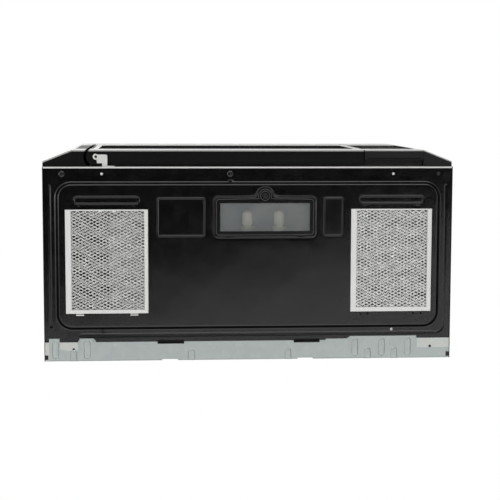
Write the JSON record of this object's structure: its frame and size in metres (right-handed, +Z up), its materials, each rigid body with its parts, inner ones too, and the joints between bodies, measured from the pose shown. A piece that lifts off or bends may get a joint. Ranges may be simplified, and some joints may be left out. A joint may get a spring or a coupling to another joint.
{
  "type": "over the range microwave",
  "caption": "Over-the-range microwave oven with side-hinged door, turntable, grease filters, cooktop lamp and exhaust blower, built as separate fitted pieces.",
  "frame": {"origin": "middle of the footprint, on the plane of the bottom pan's underside", "axes": "+Z up, door on the -Y side, flat back on the +Y side against the wall, controls at +X"},
  "size_m": [0.7588, 0.3906, 0.4191],
  "materials": {
    "black_enamel": "gloss black paint on steel",
    "zinc_steel": "galvanised sheet, satin",
    "cavity_enamel": "pale grey enamel",
    "silver_trim": "fine brushed stainless finish",
    "black_plastic": "moulded, satin",
    "black_glass": "black glass, polished",
    "door_steel": "black paint",
    "hook_plastic": "moulded acetal",
    "switch_plastic": "moulded",
    "board": "fibre board",
    "mica": "mica sheet",
    "magnetron_metal": "fins and steel yoke",
    "core_steel": "laminated steel",
    "copper_winding": "enamelled wire",
    "capacitor_can": "drawn can",
    "motor_steel": "plated steel",
    "fan_plastic": "moulded",
    "aluminium_mesh": "expanded foil mesh",
    "aluminium_frame": "folded strip",
    "frosted_lens": "frosted",
    "lamp_glass": "clear bulb",
    "socket_ceramic": "glazed ceramic",
    "tray_glass": "clear moulded glass",
    "screw_steel": "black zinc"
  },
  "bodies": {
    "cabinet": {"base_screws": "black_enamel", "blower_housing": "zinc_steel", "blower_motor": "motor_steel", "bottom_panel": "black_enamel", "charcoal_filter": "black_plastic", "component_tray": "zinc_steel", "control_board": "board", "control_panel": "silver_trim", "cooktop_bulbs": "lamp_glass", "cooling_fan_motor": "motor_steel", "cord_grommet": "black_plastic", "exhaust_adapter": "zinc_steel", "filter_clips": "black_plastic", "front_frame": "zinc_steel", "hinge_brackets": "zinc_steel", "hv_capacitor": "capacitor_can", "interlock_switches": "switch_plastic", "lamp_housing": "zinc_steel", "lamp_sockets": "socket_ceramic", "latch_body": "black_plastic", "left_wing": "silver_trim", "magnetron": "magnetron_metal", "outer_case": "black_enamel", "oven_cavity": "cavity_enamel", "oven_lamp": "lamp_glass", "plated_fasteners": "zinc_steel", "rear_panel": "zinc_steel", "right_wing": "silver_trim", "touch_panel": "black_glass", "transformer_core": "core_steel", "transformer_windings": "copper_winding", "turntable_motor": "motor_steel", "vent_grille": "silver_trim", "waveguide": "zinc_steel", "waveguide_cover": "mica"},
    "door": {"door_body": "black_plastic", "door_skin": "silver_trim", "door_glass": "black_glass", "door_inner_panel": "door_steel", "hinge_pins": "zinc_steel"},
    "latch": {"latch_hooks": "hook_plastic"},
    "button": {"door_button": "silver_trim"},
    "lever": {"release_lever": "hook_plastic"},
    "turntable": {"drive_coupler": "fan_plastic", "glass_tray": "tray_glass"},
    "ring": {"roller_ring": "fan_plastic"},
    "roller_a": {"roller_1": "fan_plastic"},
    "roller_b": {"roller_2": "fan_plastic"},
    "roller_c": {"roller_3": "fan_plastic"},
    "blower_rotor": {"blower_shaft": "motor_steel", "blower_wheels": "fan_plastic"},
    "cooling_rotor": {"cooling_fan_blade": "fan_plastic"},
    "damper": {"damper_flap": "zinc_steel"},
    "lamp_door": {"lamp_cover": "black_plastic", "lamp_lens": "frosted_lens", "lamp_cover_screw": "screw_steel"},
    "left_filter": {"filter_frame_left": "aluminium_frame", "filter_mesh_left": "aluminium_mesh"},
    "right_filter": {"filter_frame_right": "aluminium_frame", "filter_mesh_right": "aluminium_mesh"}
  },
  "joints": [
    {"name": "door_hinge", "type": "hinge", "parent": "cabinet", "child": "door", "pos_m": [-0.282, -0.183, 0.19], "axis": [0, 0, -1], "range_deg": [0, 100]},
    {"name": "latch_lift", "type": "slide", "parent": "door", "child": "latch", "axis": [0, 0, 1], "range_m": [0, 0.003], "stiffness_N_per_m": 600, "springref_m": -0.002},
    {"name": "button_press", "type": "slide", "parent": "cabinet", "child": "button", "axis": [0, 1, 0], "range_m": [0, 0.004], "stiffness_N_per_m": 800, "springref_m": -0.001},
    {"name": "lever_turn", "type": "hinge", "parent": "cabinet", "child": "lever", "pos_m": [0.2325, -0.15, 0.1], "axis": [1, 0, 0], "range_deg": [0, 5]},
    {"name": "tray_turn", "type": "hinge", "parent": "cabinet", "child": "turntable", "pos_m": [-0.036, 0.00112, 0.08], "axis": [0, 0, 1], "continuous": true},
    {"name": "ring_turn", "type": "hinge", "parent": "cabinet", "child": "ring", "pos_m": [-0.036, 0.00112, 0.0793], "axis": [0, 0, 1], "continuous": true},
    {"name": "roller_1_turn", "type": "hinge", "parent": "ring", "child": "roller_a", "pos_m": [-0.036, 0.10912, 0.0793], "axis": [0, 1, 0], "continuous": true},
    {"name": "roller_2_turn", "type": "hinge", "parent": "ring", "child": "roller_b", "pos_m": [-0.12953, -0.05287, 0.0793], "axis": [-0.866, -0.5, 0], "continuous": true},
    {"name": "roller_3_turn", "type": "hinge", "parent": "ring", "child": "roller_c", "pos_m": [0.05753, -0.05287, 0.0793], "axis": [0.866, -0.5, 0], "continuous": true},
    {"name": "blower_turn", "type": "hinge", "parent": "cabinet", "child": "blower_rotor", "pos_m": [-0.02, 0.128, 0.36], "axis": [1, 0, 0], "continuous": true},
    {"name": "cooling_fan_turn", "type": "hinge", "parent": "cabinet", "child": "cooling_rotor", "pos_m": [0.27, 0.149, 0.24], "axis": [0, 1, 0], "continuous": true},
    {"name": "damper_hinge", "type": "hinge", "parent": "cabinet", "child": "damper", "pos_m": [-0.02, 0.1773, 0.4156], "axis": [-1, 0, 0], "range_deg": [0, 75]},
    {"name": "lamp_cover_hinge", "type": "hinge", "parent": "cabinet", "child": "lamp_door", "pos_m": [0.029, -0.0363, 0.00105], "axis": [1, 0, 0], "range_deg": [0, 80]},
    {"name": "left_filter_drop", "type": "slide", "parent": "cabinet", "child": "left_filter", "axis": [0, 0, -1], "range_m": [0, 0.04]},
    {"name": "right_filter_drop", "type": "slide", "parent": "cabinet", "child": "right_filter", "axis": [0, 0, -1], "range_m": [0, 0.04]}
  ],
  "couplings": [
    {"joint": "ring_turn", "follows": "tray_turn", "ratio": 0.5},
    {"joint": "roller_1_turn", "follows": "tray_turn", "ratio": -7.7143},
    {"joint": "roller_2_turn", "follows": "tray_turn", "ratio": -7.7143},
    {"joint": "roller_3_turn", "follows": "tray_turn", "ratio": -7.7143},
    {"joint": "lever_turn", "follows": "button_press", "rad_per_m": 16.9}
  ]
}
